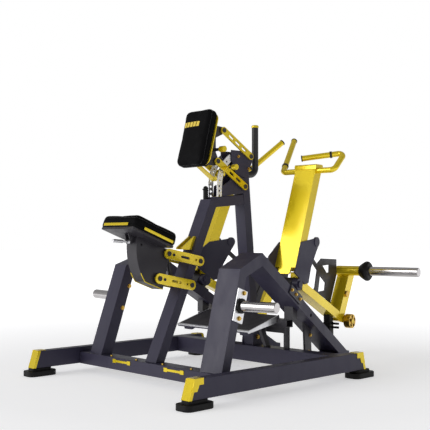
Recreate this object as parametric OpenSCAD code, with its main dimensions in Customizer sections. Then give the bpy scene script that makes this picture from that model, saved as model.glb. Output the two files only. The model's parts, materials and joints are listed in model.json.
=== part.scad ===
// Plate-loaded seated row with two independent lever arms and a chest support.
// Millimetres. +X is the way the seated user faces, +Y the user's left, +Z up.
// Lengths along X are measured from the rear top edge of the floor rails and
// shifted by mid_x, so that the finished machine is centred over the origin.

/* [Floor frame] */
// X of the middle of the whole machine, measured from the rails' rear top edge
mid_x = 716.02; // [600:0.01:800]
// Distance from the middle to the inner face of a floor rail
rail_y = 554; // [500:1:600]
// Width of a floor rail
rail_w = 50; // [40:1:60]
// Length of a floor rail along its top
rail_len = 1105; // [1000:1:1200]
// Height of the rails' underside above the floor
foot_h = 40; // [30:1:50]
// Height of the rails' top above the floor
rail_top = 124; // [110:1:140]
// Height of the rear cross-beam's top
rear_beam_top = 100; // [95:1:105]

/* [Tubes] */
// Width of the big flat-oval tubes of the side frames and lever arms
tube_w = 120; // [100:1:130]
// Thickness of a lever arm's upright tube
arm_t = 60; // [50:1:70]
// Wall of every steel tube
wall = 4; // [3:0.5:5]
// Wall of the lighter folded covers
sheet = 4; // [3:0.5:5]

/* [Side frames] */
// X of the side frames' turning point, measured from the rails' rear top edge
toe_x = 194.35; // [180:0.05:210]
// Distance of that point from the middle
toe_y = 494.63; // [480:0.01:510]
// Angle by which each side frame turns in towards the front
toe = 9; // [0:0.5:12]

/* [Weight arms] */
// Place of the arm's pivot along its side frame
pivot_u = 700; // [690:1:710]
// Height of the arm's pivot
pivot_z = 462; // [460:1:470]
// Radius of the pivot shaft
shaft_r = 17.5; // [15:0.5:18]
// Radial running clearance of every shaft in its bore
run_gap = 0.05; // [0.02:0.01:0.1]
// Place of the loading horn along the side frame
horn_u = 1235; // [1225:1:1240]
// Height of the loading horn
horn_z = 514; // [510:1:518]
// Radius of the loading sleeve
sleeve_r = 25; // [24:0.5:25]
// Length of the loading sleeve
sleeve_len = 280; // [200:1:300]
// Radius of the handle tube
grip_r = 15; // [13:0.5:16]

/* [Storage horns] */
// Radius of a storage sleeve
store_r = 24; // [20:0.5:25]
// Length of a storage sleeve
store_len = 182; // [150:1:220]

/* [Seat] */
// Length of the seat pad along its slope
seat_len = 280; // [250:1:290]
// Width of the seat pad
seat_w = 280; // [250:1:300]
// Thickness of the seat pad
seat_t = 66; // [55:1:75]
// Slope of the seat pad, down towards the front
seat_tilt = 20.4; // [10:0.1:25]

/* [Chest pad] */
// Height of the chest pad along its face
chest_len = 308; // [280:1:320]
// Width of the chest pad
chest_w = 204; // [190:1:230]
// Thickness of the chest pad
pad_t = 60; // [50:1:70]
// Lean of the chest pad, top away from the user
chest_tilt = 14.9; // [5:0.1:20]

/* [Hidden] */
$fn = 64;

FRAME = [0.27, 0.25, 0.30];
YELLOW = [0.93, 0.80, 0.10];
BLACK = [0.06, 0.06, 0.07];
DARK = [0.16, 0.15, 0.18];
CHROME = [0.78, 0.77, 0.76];
SILVER = [0.88, 0.88, 0.90];
GOLD = [0.72, 0.52, 0.16];

// Places in the side frames' own frame: u runs forwards along the frame, v inwards
// from its outer face, and z up.
post_foot_u = 59;
post_t = 62;
post_lean = 143 / 452;
kink_u = 381;
kink_top = 623;
kink_low = 561;
leg_slope = 0.655;
outrigger_top = 78;
outrigger_low = 18;
outrigger_end = 1235;

// The lever beam's rear edge leans forwards from its lower end.
beam_foot = [672, 547];
beam_lean = 21.9;
beam_top = 1050;
hub_cap_t = 8;
boss_u = 870;
boss_z = 673;
arm_w = 70;

// Four-bar linkage of the seat: both bars are equal and parallel.
seat_hi_front = [531, 578];
seat_lo_front = [474, 461];
seat_bar = [-206, 39];
seat_hi_rear = seat_hi_front + seat_bar;
seat_lo_rear = seat_lo_front + seat_bar;
seat_pin_hi = [360, 610.4];
seat_pin_lo = [386, 477.7];
seat_top = [64, 800];
lever_at = [127, 675];
lever_pin_r = 3;

// Four-bar linkage of the chest pad, the same way.
pad_hi_front = [899, 1125];
pad_lo_front = [855, 963];
pad_bar = [-201, 121];
pad_hi_rear = pad_hi_front + pad_bar;
pad_lo_rear = pad_lo_front + pad_bar;
chest_foot = [477.4, 1048];

// The perforated adjuster strips are arcs about the lower pad link's pivot.
strip_r = 174;
strip_half = 18;
hole_pitch = 7.5;
rest_angle = atan2(pad_bar[1], pad_bar[0]);

// ---------------------------------------------------------------- helpers

function unit(v) = v / norm(v);
function mast_rear(z) = 886 - (z - 621) * 0.0917;
function column_rear(z) = 253 + (z - 99) * 0.4596;
function leg_top(u) = kink_top - leg_slope * (u - kink_u);
function leg_low(u) = kink_low - leg_slope * (u - kink_u);
function arm_mid(u) = 443 - 0.475 * (u - 770);
function seat_point(lx, lz) = seat_top
    + [lx * cos(seat_tilt) + lz * sin(seat_tilt), lz * cos(seat_tilt) - lx * sin(seat_tilt)];
function chest_point(lx, lz) = chest_foot
    + [lx * cos(chest_tilt) + lz * sin(chest_tilt), lz * cos(chest_tilt) - lx * sin(chest_tilt)];
function polar(centre, r, a) = centre + r * [cos(a), sin(a)];

// Corner of two edges, each moved in by its own distance.
function corner(a, b, c, d1, d2) =
    let (p = unit(b - a), q = unit(c - b),
         p0 = a + d1 * [-p[1], p[0]],
         q0 = b + d2 * [-q[1], q[0]])
    p0 + p * cross(q0 - p0, q) / cross(p, q);

// Outline moved in by one distance per edge; a negative one opens that end.
function inset(points, gaps) =
    let (n = len(points))
    [for (i = [0 : n - 1])
        corner(points[(i + n - 1) % n], points[i], points[(i + 1) % n],
               gaps[(i + n - 1) % n], gaps[i])];

module placed() {
    translate([-mid_x, 0, 0]) children();
}

// Right side frame's own frame; the left one is its mirror image.
module toed() {
    placed() translate([toe_x, -toe_y, 0]) rotate([0, 0, toe]) children();
}

module side(left) {
    mirror([0, left ? 1 : 0, 0]) toed() children();
}

module both() {
    children();
    mirror([0, 1, 0]) children();
}

// Outline in X and Z, given thickness from y0 to y1.
module slab(points, y0, y1) {
    translate([0, y1, 0]) rotate([90, 0, 0]) linear_extrude(height = y1 - y0) polygon(points);
}

// Tube with that outline: gaps give the wall at each edge.
module hollow_slab(points, gaps, y0, y1) {
    difference() {
        slab(points, y0, y1);
        slab(inset(points, gaps), y0 + wall, y1 - wall);
    }
}

// Cylinder along Y at a place in X and Z.
module pin(at, y0, y1, r) {
    translate([at[0], y1, at[1]]) rotate([90, 0, 0]) cylinder(h = y1 - y0, r = r);
}

module rod(a, b, r) {
    d = b - a;
    translate(a) rotate([0, acos(d[2] / norm(d)), atan2(d[1], d[0])]) cylinder(h = norm(d), r = r);
}

// Round-ended bar from a to b in X and Z.
module bar(a, b, r, y0, y1) {
    e = unit(b - a);
    s = r * [-e[1], e[0]];
    pin(a, y0, y1, r);
    pin(b, y0, y1, r);
    slab([a - s, b - s, b + s, a + s], y0, y1);
}

// One bend of a round bar, from direction p-q to direction q-s. It stands proud of
// the straight lengths by elbow_lip, and they reach elbow_lap into it.
elbow_lip = 0.25;
elbow_lap = 2;

module elbow(p, q, s, r, bend) {
    d1 = unit(q - p);
    d2 = unit(s - q);
    turn = acos(d1 * d2);
    n = unit(d2 - (d1 * d2) * d1);
    c = q - d1 * bend * tan(turn / 2) + n * bend;
    z = cross(-n, d1);
    multmatrix([[-n[0], d1[0], z[0], c[0]], [-n[1], d1[1], z[1], c[1]], [-n[2], d1[2], z[2], c[2]]])
        rotate_extrude(angle = turn) translate([bend, 0]) circle(r = r + elbow_lip);
}

// Length that a bend takes from each side of its corner.
function setback(p, q, s, bend) = bend * tan(acos(unit(q - p) * unit(s - q)) / 2);

// Round bar along a list of points, with one bend radius.
module bent_bar(points, r, bend) {
    n = len(points);
    for (i = [0 : n - 2]) {
        a = points[i];
        b = points[i + 1];
        e = unit(b - a);
        cut_a = i == 0 ? 0 : setback(points[i - 1], a, b, bend) - elbow_lap;
        cut_b = i == n - 2 ? 0 : setback(a, b, points[i + 2], bend) - elbow_lap;
        rod(a + e * cut_a, b - e * cut_b, r);
    }
    for (i = [1 : n - 2]) {
        elbow(points[i - 1], points[i], points[i + 1], r, bend);
    }
}

// Flat block with rounded upright edges.
module rounded_block(lx, ly, h, r) {
    translate([-lx / 2 + r, -ly / 2, 0]) cube([lx - 2 * r, ly, h]);
    translate([-lx / 2, -ly / 2 + r, 0]) cube([lx, ly - 2 * r, h]);
    for (x = [-1, 1], y = [-1, 1]) {
        translate([x * (lx / 2 - r), y * (ly / 2 - r), 0]) cylinder(h = h, r = r);
    }
}

// Hexagon bolt head standing on the plane y = 0, outwards along -Y.
module bolt_head(at, y, out, r) {
    translate([at[0], y, at[1]]) rotate([90 * out, 0, 0]) {
        cylinder(h = 2, r = r + 2);
        cylinder(h = 8, r = r, $fn = 6);
    }
}

// ---------------------------------------------------------------- floor frame

rear_low = -28;
front_low = rail_len + 25;
rail_outline = [[rear_low, foot_h], [front_low, foot_h], [rail_len, rail_top], [0, rail_top]];

module side_rails() {
    color(FRAME) placed() both()
        hollow_slab(rail_outline, [wall, -60, wall, -60], rail_y, rail_y + rail_w);
}

module box_beam(x0, x1, z0, z1) {
    difference() {
        translate([x0, -rail_y, z0]) cube([x1 - x0, 2 * rail_y, z1 - z0]);
        translate([x0 + wall, -rail_y - 1, z0 + wall])
            cube([x1 - x0 - 2 * wall, 2 * rail_y + 2, z1 - z0 - 2 * wall]);
    }
}

rear_beam_x = 232;
front_beam_x = 915;
beam_w = 80;

module cross_beams() {
    color(FRAME) placed() {
        box_beam(rear_beam_x, rear_beam_x + beam_w, foot_h, rear_beam_top);
        box_beam(front_beam_x, front_beam_x + beam_w, foot_h, rail_top);
    }
}

function post_rear(z) = post_foot_u + (z - rear_beam_top) * post_lean;

leg_end_u = kink_u + (kink_top - outrigger_top) / leg_slope;
leg_low_u = kink_u + (kink_low - outrigger_top) / leg_slope;
side_outline = [
    [post_foot_u, rear_beam_top], [post_foot_u + post_t, rear_beam_top],
    [post_rear(516) + post_t - 3, 516], [kink_u, kink_low],
    [leg_low_u, outrigger_top], [leg_end_u, outrigger_top],
    [kink_u, kink_top], [post_rear(553), 553]
];

module side_frame() {
    color(FRAME) difference() {
        hollow_slab(side_outline, [-20, wall, wall, wall, -20, wall, wall, wall], 0, tube_w);
        pin([824, 300], -1, wall + 1, 9);
    }
}

module right_side_frame() {
    side(false) side_frame();
}

module left_side_frame() {
    side(true) side_frame();
}

// Foot tubes that carry the legs' front ends; they butt on the front cross-beam.
module front_outriggers() {
    beam_front = front_beam_x + beam_w;
    u0 = (beam_front - toe_x) / cos(toe);
    u1 = u0 + tube_w * tan(toe);
    outline = [[u0, 0], [outrigger_end, 0], [outrigger_end, tube_w], [u1, tube_w]];
    color(FRAME) both() toed() difference() {
        translate([0, 0, outrigger_low]) linear_extrude(height = outrigger_top - outrigger_low)
            polygon(outline);
        translate([0, 0, outrigger_low + wall])
            linear_extrude(height = outrigger_top - outrigger_low - 2 * wall)
                polygon(inset(outline, [wall, -20, wall, -20]));
    }
}

module rail_foot(x) {
    foot_plate = 27;
    translate([x, rail_y + rail_w / 2, 0]) {
        rounded_block(158, 92, foot_plate, 30);
        translate([0, 0, foot_plate]) rounded_block(112, 56, foot_h - foot_plate, 16);
    }
}

module rubber_feet() {
    color(BLACK) {
        placed() both() {
            rail_foot(9);
            rail_foot(rail_len + 20);
        }
        both() toed() translate([outrigger_end - 50, tube_w / 2, 0])
            rounded_block(96, tube_w, outrigger_low, 20);
    }
}

cap_t = 16;
tab_t = 3;

// Yellow cap on a rail's slanted end, with a tab folded over its outer side.
module rail_end_cap(low, top, out) {
    y0 = rail_y;
    y1 = rail_y + rail_w;
    flip = out > 0;
    face = [[low, foot_h], [low + out * cap_t, foot_h], [top + out * cap_t, rail_top], [top, rail_top]];
    mid = (low + top) / 2;
    tab = [[mid + out * cap_t, 74], [mid - out * 12, 74], [top - out * 10, 100],
           [top - out * 34, 100], [top - out * 34, rail_top + tab_t],
           [top + out * cap_t, rail_top + tab_t]];
    slab(flip ? face : [for (i = [3 : -1 : 0]) face[i]], y0, y1);
    slab(flip ? [for (i = [5 : -1 : 0]) tab[i]] : tab, y1, y1 + tab_t);
    translate([min(top + out * cap_t, top - out * 34), y0 + 8, rail_top])
        cube([cap_t + 34, rail_w - 8, tab_t]);
}

// Yellow strip with wider ends on the rear cross-beam's rear face.
module joint_cover() {
    y0 = 126;
    len = 138;
    end = 24;
    translate([rear_beam_x - tab_t, y0, rear_beam_top - 22]) cube([tab_t, len, 11]);
    for (y = [y0, y0 + len - end]) {
        translate([rear_beam_x - tab_t, y, rear_beam_top - 26]) cube([tab_t, end, 19]);
    }
}

module cover_plates() {
    color(YELLOW) placed() both() {
        rail_end_cap(rear_low, 0, -1);
        rail_end_cap(front_low, rail_len, 1);
        joint_cover();
    }
}

// ---------------------------------------------------------------- column, crosspiece and mast

column_w = 40;
column_top = 891;
column_t = 55;
lug_t = 5;

module seat_column() {
    outline = [
        [column_rear(rear_beam_top), rear_beam_top],
        [column_rear(rear_beam_top) + column_t, rear_beam_top],
        [column_rear(column_top) + column_t, column_top],
        [column_rear(column_top), column_top]
    ];
    hi = seat_hi_front;
    lo = seat_lo_front;
    color(FRAME) placed() {
        hollow_slab(outline, [-20, wall, wall, wall], -column_w, column_w);
        both() {
            slab([hi + [-45, -22], hi + [0, -24], hi + [0, 24], hi + [-25, 24]],
                 column_w, column_w + lug_t);
            pin(hi, column_w, column_w + lug_t, 24);
            slab([lo + [-45, -24], lo + [0, -24], lo + [0, 24], lo + [-28, 24]],
                 column_w, column_w + lug_t);
            pin(lo, column_w, column_w + lug_t, 24);
        }
    }
}

// Yellow rib behind the column, above the seat's upper bars.
module seat_stop_gusset() {
    low = 634;
    high = 700;
    rib = [[column_rear(low) - 64, low + 3], [column_rear(low), low], [column_rear(high), high],
           [column_rear(high) - 12, high + 2], [column_rear(low) - 64, low + 12]];
    color(YELLOW) placed() {
        for (y = [-22, 14]) {
            slab(rib, y, y + 8);
        }
        pin([column_rear(low) - 30, low + 9], -14, 14, 5);
    }
}

module crosspiece() {
    outline = [[column_rear(850) + column_t, 850], [mast_rear(870), 870], [mast_rear(923), 923],
               [650, 902], [650, column_top], [column_rear(column_top) + column_t, column_top]];
    color(FRAME) placed() slab(outline, -35, 35);
}

mast_w = 35;
mast_t = 50;
mast_top = 1150;

module mast_post() {
    outline = [[mast_rear(rail_top), rail_top], [mast_rear(rail_top) + mast_t, rail_top],
               [mast_rear(mast_top) + mast_t, mast_top], [mast_rear(mast_top), mast_top]];
    foot = mast_rear(rail_top);
    foot_plate_top = 204;
    color(FRAME) placed() {
        hollow_slab(outline, [-20, wall, wall, wall], -mast_w, mast_w);
        for (y = [-mast_w - 6, mast_w]) {
            slab([[foot - 12, rail_top], [foot + mast_t + 10, rail_top],
                  [foot + mast_t - 6, foot_plate_top], [foot, foot_plate_top]], y, y + 6);
        }
    }
}

head_t = 6;

// Plates on both sides of the mast that carry the pad's pivots.
module mast_head_plates() {
    hi = pad_hi_front;
    lo = pad_lo_front;
    head = [[796, 1030], [870, 1008], [916, 1094], [925, 1112], [925, 1140], [908, 1151],
            [762, 1151], [762, 1096], [790, 1062]];
    web_top = 1056;
    web = [[701, 907.1], [mast_rear(930), 930], [mast_rear(web_top), web_top], [798, 1034],
           [750, 985], [706, 962]];
    color(DARK) placed() both() {
        slab(web, mast_w - head_t, mast_w);
        slab(head, mast_w, mast_w + head_t);
        pin(lo, mast_w, mast_w + head_t, 22);
        slab([lo + [0, -22], lo + [40, -22], lo + [36, 22], lo + [0, 22]], mast_w, mast_w + head_t);
    }
}

// Arc of flat bar between two angles, less than 90 degrees apart, about a centre in X and Z.
module arc_band(centre, r0, r1, a0, a1, y0, y1) {
    reach = 2 * r1;
    difference() {
        intersection() {
            pin(centre, y0, y1, r1);
            slab([centre, polar(centre, reach, a0), polar(centre, reach, a1)], y0 - 1, y1 + 1);
        }
        pin(centre, y0 - 2, y1 + 2, r0);
    }
}

// Perforated strips that the pad's pull pin locks into.
module pad_adjuster_strips() {
    lo = pad_lo_front;
    r0 = strip_r - strip_half;
    r1 = strip_r + strip_half;
    top_of_cross = 902;
    x0 = lo[0] - r1 + 2;
    x1 = lo[0] - r0 - 2;
    tail = [[x0, top_of_cross + (x0 - 650) * 21 / 208], [x1, top_of_cross + (x1 - 650) * 21 / 208],
            [x1, lo[1] + 8], [x0, lo[1] + 8]];
    color(SILVER) placed() both() difference() {
        union() {
            arc_band(lo, r0, r1, 121, 180, 30, mast_w);
            slab(tail, 30, mast_w);
        }
        for (k = [-2 : 3]) {
            pin(polar(lo, strip_r, rest_angle + k * hole_pitch), 29, mast_w + 1, 6);
        }
        for (drop = [0, 25, 50]) {
            pin([lo[0] - strip_r, lo[1] - 4 - drop], 29, mast_w + 1, 7);
        }
    }
}

module column_post_plug() {
    at = [636, 21];
    color(BLACK) placed() {
        translate([at[0], at[1], column_top]) cylinder(h = 56, r = 13);
        translate([at[0], at[1], column_top + 56]) sphere(r = 13);
        rod([at[0], at[1], column_top + 48], [at[0] - 20, at[1], column_top + 51], 3.5);
    }
}

stub_r = 9;

// Stub pins that the four bars of each linkage turn on.
module link_stub(at, face, outer) {
    pin(at, face, outer + 0.3, stub_r);
    pin(at, outer + 0.3, outer + 4, stub_r + 3);
}

module link_pivot_pins() {
    color(DARK) placed() {
        both() {
            link_stub(seat_hi_front, column_w + lug_t, 54);
            link_stub(seat_lo_front, column_w + lug_t, 54);
            link_stub(pad_lo_front, mast_w + head_t, 52);
        }
        mirror([0, 1, 0]) link_stub(pad_hi_front, mast_w + head_t, 52);
    }
}

module fixed_grip_bar() {
    grip_r = 17.5;
    low = 1024;
    face = mast_t + 0.1;
    root = [mast_rear(low) + face - grip_r, 0, low];
    color(BLACK) placed() difference() {
        bent_bar([root, [984, 0, 1040], [984, 0, 1290]], grip_r, 40);
        slab([[mast_rear(low - 60) - 60, low - 60], [mast_rear(low - 60) + face, low - 60],
              [mast_rear(low + 60) + face, low + 60], [mast_rear(low + 60) - 60, low + 60]], -40, 40);
    }
}

module fixed_grip_cap() {
    color(YELLOW) placed() translate([984, 0, 1290]) {
        cylinder(h = 9, r = 20);
        translate([0, 0, 9]) cylinder(h = 5, r1 = 20, r2 = 15);
    }
}

// ---------------------------------------------------------------- foot platform

deck_rear = [655, 238];
deck_slope = 16.1;
deck_len = 236;
deck_half = 256;
deck_t = 14;
support_x = 864;
support_top = deck_rear[1] + (support_x - deck_rear[0]) * tan(deck_slope) - deck_t / cos(deck_slope);

module on_deck() {
    placed() translate([deck_rear[0], 0, deck_rear[1]]) rotate([0, -deck_slope, 0]) children();
}

module foot_platform() {
    color(FRAME) on_deck() {
        translate([0, -deck_half, -deck_t]) cube([deck_len, 2 * deck_half, 6]);
        for (y = [-deck_half + 20, -30, deck_half - 80]) {
            translate([20, y, -deck_t - 22]) cube([deck_len - 66, 60, 22]);
        }
    }
}

module platform_tread() {
    ribs = 13;
    pitch = (deck_len - 26) / ribs;
    color(DARK) on_deck() {
        translate([12, -deck_half, -8]) cube([deck_len - 12, 2 * deck_half, 5]);
        for (i = [0 : ribs - 1]) {
            translate([18 + i * pitch, -deck_half, -3]) cube([pitch - 5, 2 * deck_half, 3]);
        }
    }
}

// Bright nosing along the rear edge and wedge strips along both sides.
module platform_edge_strips() {
    deep = 36;
    color(SILVER) difference() {
        on_deck() {
            translate([0, -deck_half, -8]) cube([12, 2 * deck_half, 8]);
            both() {
                slab([[0, -deck_t], [deck_len, -deep], [deck_len, 0], [0, 0]], deck_half, deck_half + 6);
            }
        }
        placed() translate([support_x - 0.5, -deck_half - 10, 200])
            cube([100, 2 * deck_half + 20, support_top + 0.5 - 200]);
    }
}

// Tube under the platform's front edge, its hangers, and the stays below the legs.
module platform_supports() {
    x0 = support_x;
    side_len = 50;
    tube_h = 40;
    z0 = support_top - tube_h;
    leg_u0 = 704;
    leg_u1 = 744;
    color(DARK) {
        placed() {
            difference() {
                translate([x0, -325, z0]) cube([side_len, 650, tube_h]);
                translate([x0 + wall, -326, z0 + wall])
                    cube([side_len - 2 * wall, 652, tube_h - 2 * wall]);
            }
            both() {
                slab([[front_beam_x + 8, rail_top], [front_beam_x + 40, rail_top], [x0 + 36, z0],
                      [x0 + 4, z0]], 118, 138);
            }
        }
        low = 205;
        placed() both() {
            translate([930, mast_w, low]) cube([32, 217, 30]);
            translate([926, mast_w + 217, rail_top]) cube([40, 8, low + 34 - rail_top]);
        }
        both() toed() {
            slab([[leg_u0, z0 + tube_h], [leg_u1, z0 + tube_h], [leg_u1, leg_low(leg_u1)],
                  [leg_u0, leg_low(leg_u0)]], 34, 86);
            slab([[850, outrigger_top], [912, outrigger_top], [905, leg_low(905)],
                  [838, leg_low(838)]], 48, 60);
        }
    }
}

// ---------------------------------------------------------------- storage horns

store_u = 194;
store_z = 388;
flange_t = 6;
collar_t = 12;

module storage_flanges() {
    color(SILVER) both() toed() translate([store_u, -flange_t / 2, store_z])
        rotate([0, atan(post_lean), 0]) cube([75, flange_t, 150], center = true);
}

module storage_collars() {
    color(BLACK) both() toed() pin([store_u, store_z], -flange_t - collar_t, -flange_t, 34);
}

module storage_sleeves() {
    root = -flange_t - collar_t;
    edge = 2;
    color(CHROME) both() toed() {
        pin([store_u, store_z], root - store_len + edge, root, store_r);
        translate([store_u, root - store_len + edge, store_z]) rotate([90, 0, 0])
            cylinder(h = edge, r1 = store_r, r2 = store_r - edge);
    }
}

// ---------------------------------------------------------------- pivots and stops

leg_lean = atan(leg_slope);
block_y0 = 22;
block_y1 = tube_w - 22;
pivot_lift = (pivot_z - leg_top(pivot_u)) * cos(leg_lean);

module at_pivot() {
    translate([pivot_u, 0, pivot_z]) rotate([0, leg_lean, 0]) children();
}

module pillow_blocks() {
    color(DARK) both() toed() at_pivot() difference() {
        union() {
            pin([0, 0], block_y0, block_y1, 33);
            slab([[-33, -pivot_lift], [33, -pivot_lift], [33, 0], [-33, 0]], block_y0, block_y1);
            slab([[-33, -pivot_lift], [64, -pivot_lift], [64, -pivot_lift + 14], [-33, -pivot_lift + 14]],
                 block_y0, block_y1);
            slab([[-58, -pivot_lift - 40], [62, -pivot_lift - 40], [62, -pivot_lift + 6],
                  [-58, -pivot_lift + 6]], -6, 0);
            slab([[-33, -pivot_lift], [62, -pivot_lift], [62, -pivot_lift + 6], [-33, -pivot_lift + 6]],
                 -6, block_y0);
        }
        pin([0, 0], block_y0 - 1, block_y1 + 1, shaft_r + run_gap);
    }
}

// Stops under the weight arms, with a rubber wedge on top.
module rest_stops() {
    u0 = 1045;
    u1 = 1085;
    top = 245;
    under = 24.9 + 0.3;
    color(BLACK) both() toed() {
        slab([[u0, leg_top(u0)], [u1, leg_top(u1)], [u1, top], [u0, top]], 15, 55);
        slab([[u0 + 2, top], [u1 - 2, top], [u1 - 2, arm_mid(u1 - 2) - under],
              [u0 + 2, arm_mid(u0 + 2) - under]], 17, 53);
        for (z = [218, 238]) {
            pin([u1 - 14, z], -24, 15, 6);
        }
    }
}

// Gold bolts and nuts of the fixed frame.
module frame_bolts() {
    flange_bolts = [[221, 444], [182, 333]];
    color(GOLD) {
        both() toed() {
            for (at = flange_bolts) {
                bolt_head(at, -flange_t, 1, 9);
                bolt_head(at, tube_w, -1, 9);
            }
            at_pivot() for (x = [-44, 0, 44]) {
                bolt_head([x, -pivot_lift - 17], -6, 1, 6.5);
            }
            for (at = [[895, 190], [880, 105]]) {
                bolt_head(at, 48, 1, 8);
            }
        }
        placed() both() {
            for (y = [98, 296]) {
                translate([rear_beam_x + 16, y, rear_beam_top]) cylinder(h = 7, r = 7, $fn = 6);
            }
            for (at = [[812, 1120], [890, 1060]]) {
                bolt_head(at, mast_w + head_t, -1, 6);
            }
            bolt_head([958, 168], mast_w + 6, -1, 10);
        }
    }
}

// ---------------------------------------------------------------- lever arms

tan_lean = tan(beam_lean);
beam_front = beam_foot + arm_t * [cos(beam_lean), -sin(beam_lean)];
cross_u = 895;
cross_z = 1042;

function beam_rear_u(z) = beam_foot[0] + (z - beam_foot[1]) * tan_lean;
function beam_front_u(z) = beam_front[0] + (z - beam_front[1]) * tan_lean;

module on_beam() {
    translate([beam_foot[0], 0, beam_foot[1]]) rotate([0, beam_lean, 0]) children();
}

// Upright box of the arm, its rounded lower tongue and its top cap.
module lever_beam() {
    outline = [beam_foot, beam_front, [beam_front_u(beam_top), beam_top], [beam_rear_u(beam_top), beam_top]];
    tongue = 34;
    color(YELLOW) difference() {
        union() {
            hollow_slab(outline, [wall, wall, wall, wall], 0, tube_w);
            on_beam() {
                translate([0, 26, -tongue + 12]) cube([hub_cap_t, tube_w - 52, tongue - 12]);
                translate([0, 38, -tongue]) cube([hub_cap_t, tube_w - 76, 14]);
                for (y = [38, tube_w - 38]) {
                    translate([0, y, -tongue + 12]) rotate([0, 90, 0]) cylinder(h = hub_cap_t, r = 12);
                }
            }
            slab([[beam_rear_u(beam_top) - 4, beam_top], [beam_front_u(beam_top) + 4, beam_top],
                  [beam_front_u(beam_top) + 6, beam_top + 19], [beam_front_u(beam_top), beam_top + 25],
                  [beam_rear_u(beam_top) + 4, beam_top + 25], [beam_rear_u(beam_top) - 2, beam_top + 19]],
                 -4, tube_w + 4);
        }
        pin([cross_u, cross_z], -10, tube_w + 10, grip_r + 0.02);
    }
}

wheel_at = [1196, 243];
horn_tube_r = 27;
horn_in = 68;
horn_out = -72;
bumper_len = 54;

// Lower arm, the upright box at its end and the tube that carries the loading sleeve.
module weight_arm() {
    half = 24.9;
    u0 = 740;
    u1 = 1125;
    wheel = wheel_at;
    lower = [[u0, arm_mid(u0) - half], [u1, arm_mid(u1) - half], [u1, arm_mid(u1) + half],
             [u0, arm_mid(u0) + half]];
    upright = [[1104, 250], [1164, 238], [1298, 488], [1242, 508]];
    color(YELLOW) {
        slab(lower, 0, arm_w);
        slab([[u0, arm_mid(u0)], [790, arm_mid(790)], [798, 520], [u0, 520]], 0, arm_w);
        slab(upright, 0, arm_w);
        slab([[1150, 240], wheel + [14, -16], wheel + [14, 16], [1182, 275]], 0, 14);
        pin(wheel, -44, 14, 10);
        pin([horn_u, horn_z], horn_out, horn_in, horn_tube_r);
    }
}

// Side plates that hold the beam, the cross rod, and the hub on its shaft.
module hub_plates() {
    low = [654, 524];
    rear_gap = 1;
    outer = [low, [752, 460], [788, 466], [815, 546], [893, 658], [852, 690],
             [beam_rear_u(672) + rear_gap, 672], [beam_rear_u(548) + rear_gap, 548]];
    inner = [low, [752, 460], [788, 466], [815, 546], [893, 658], [852, 690], [722, 672], [622, 602],
             [618, 585]];
    t = 8;
    color(FRAME) {
        slab(outer, -t, 0);
        slab(inner, tube_w, tube_w + t);
        for (y = [-t - 4, tube_w]) {
            pin([boss_u, boss_z], y, y + t + 4, 25);
        }
        pin([boss_u, boss_z], 0, tube_w, 9);
        pin([pivot_u, pivot_z], -t, block_y0 - 0.3, 30);
        pin([pivot_u, pivot_z], block_y1 + 0.3, tube_w + t, 30);
        pin([pivot_u, pivot_z], -t - 8, tube_w + t + 8, shaft_r);
    }
}

// Flat truss between the hub and the horn, and the web below the cross rod.
module brace_plate() {
    y0 = 60;
    y1 = 66;
    foot0 = 1083;
    foot1 = 1120;
    top_of_arm = 24.9;
    outline = [[foot0, arm_mid(foot0) + top_of_arm], [foot1, arm_mid(foot1) + top_of_arm], [1141, 357],
               [1206, 489], [1206, 577], [1039, 584], [1002, 563], [969, 436], [959, 421], [1090, 362]];
    web = [[beam_front_u(580), 580], [861, 652], [856, 661], [beam_front_u(590), 590]];
    color(DARK) {
        difference() {
            slab(outline, y0, y1);
            slab([[1098, 504], [1120, 508], [1122, 548], [1052, 545]], y0 - 1, y1 + 1);
            slab([[1003, 408], [1072, 412], [1080, 452], [1024, 492]], y0 - 1, y1 + 1);
        }
        slab([[1038, 486], [1056, 509], [870, 650], [852, 634]], y0, y1);
        slab(web, 0, tube_w);
        slab([[1096, 366], [1108, 352], [1206, 500], [1206, 560]], y1, y1 + 4);
    }
}

module work_sleeve() {
    root = horn_out - bumper_len;
    edge = 2;
    color(CHROME) {
        pin([horn_u, horn_z], root - sleeve_len + edge, root, sleeve_r);
        translate([horn_u, root - sleeve_len + edge, horn_z]) rotate([90, 0, 0])
            cylinder(h = edge, r1 = sleeve_r, r2 = sleeve_r - edge);
    }
}

// Rubber bumper between the horn tube and the plates on the sleeve.
module horn_bumper() {
    color(BLACK) translate([horn_u, horn_out, horn_z]) rotate([90, 0, 0])
        rotate_extrude() polygon([[0, 0], [32, 0], [38, 8], [50, 28], [53, 34], [53, 44], [48, 50],
                                  [42, bumper_len], [0, bumper_len]]);
}

inner_grip_end = [1119, 278, 1235];
outer_grip_end = [912, 100, 1112];
cross_in = [cross_u, 210, cross_z];
cross_out = [cross_u, -98, cross_z];
riser_top = [1010, -98, 1138];

module handle() {
    color(YELLOW) bent_bar([inner_grip_end, cross_in, cross_out, riser_top, outer_grip_end], grip_r, 25);
}

// Ring around a bar and cap on its end.
module grip_collar(a, b, part) {
    e = unit(b - a);
    at = a + e * norm(b - a) * part;
    difference() {
        rod(at, at + e * 12, grip_r + 3);
        rod(at - e, at + e * 13, grip_r + 0.02);
    }
}

module grip_end(a, b) {
    e = unit(b - a);
    rod(b, b + e * 6, grip_r + 2);
}

module handle_caps() {
    color(BLACK) {
        grip_collar(cross_in, inner_grip_end, 0.17);
        grip_end(cross_in, inner_grip_end);
        grip_collar(riser_top, outer_grip_end, 0.30);
        grip_end(riser_top, outer_grip_end);
    }
}

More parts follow.
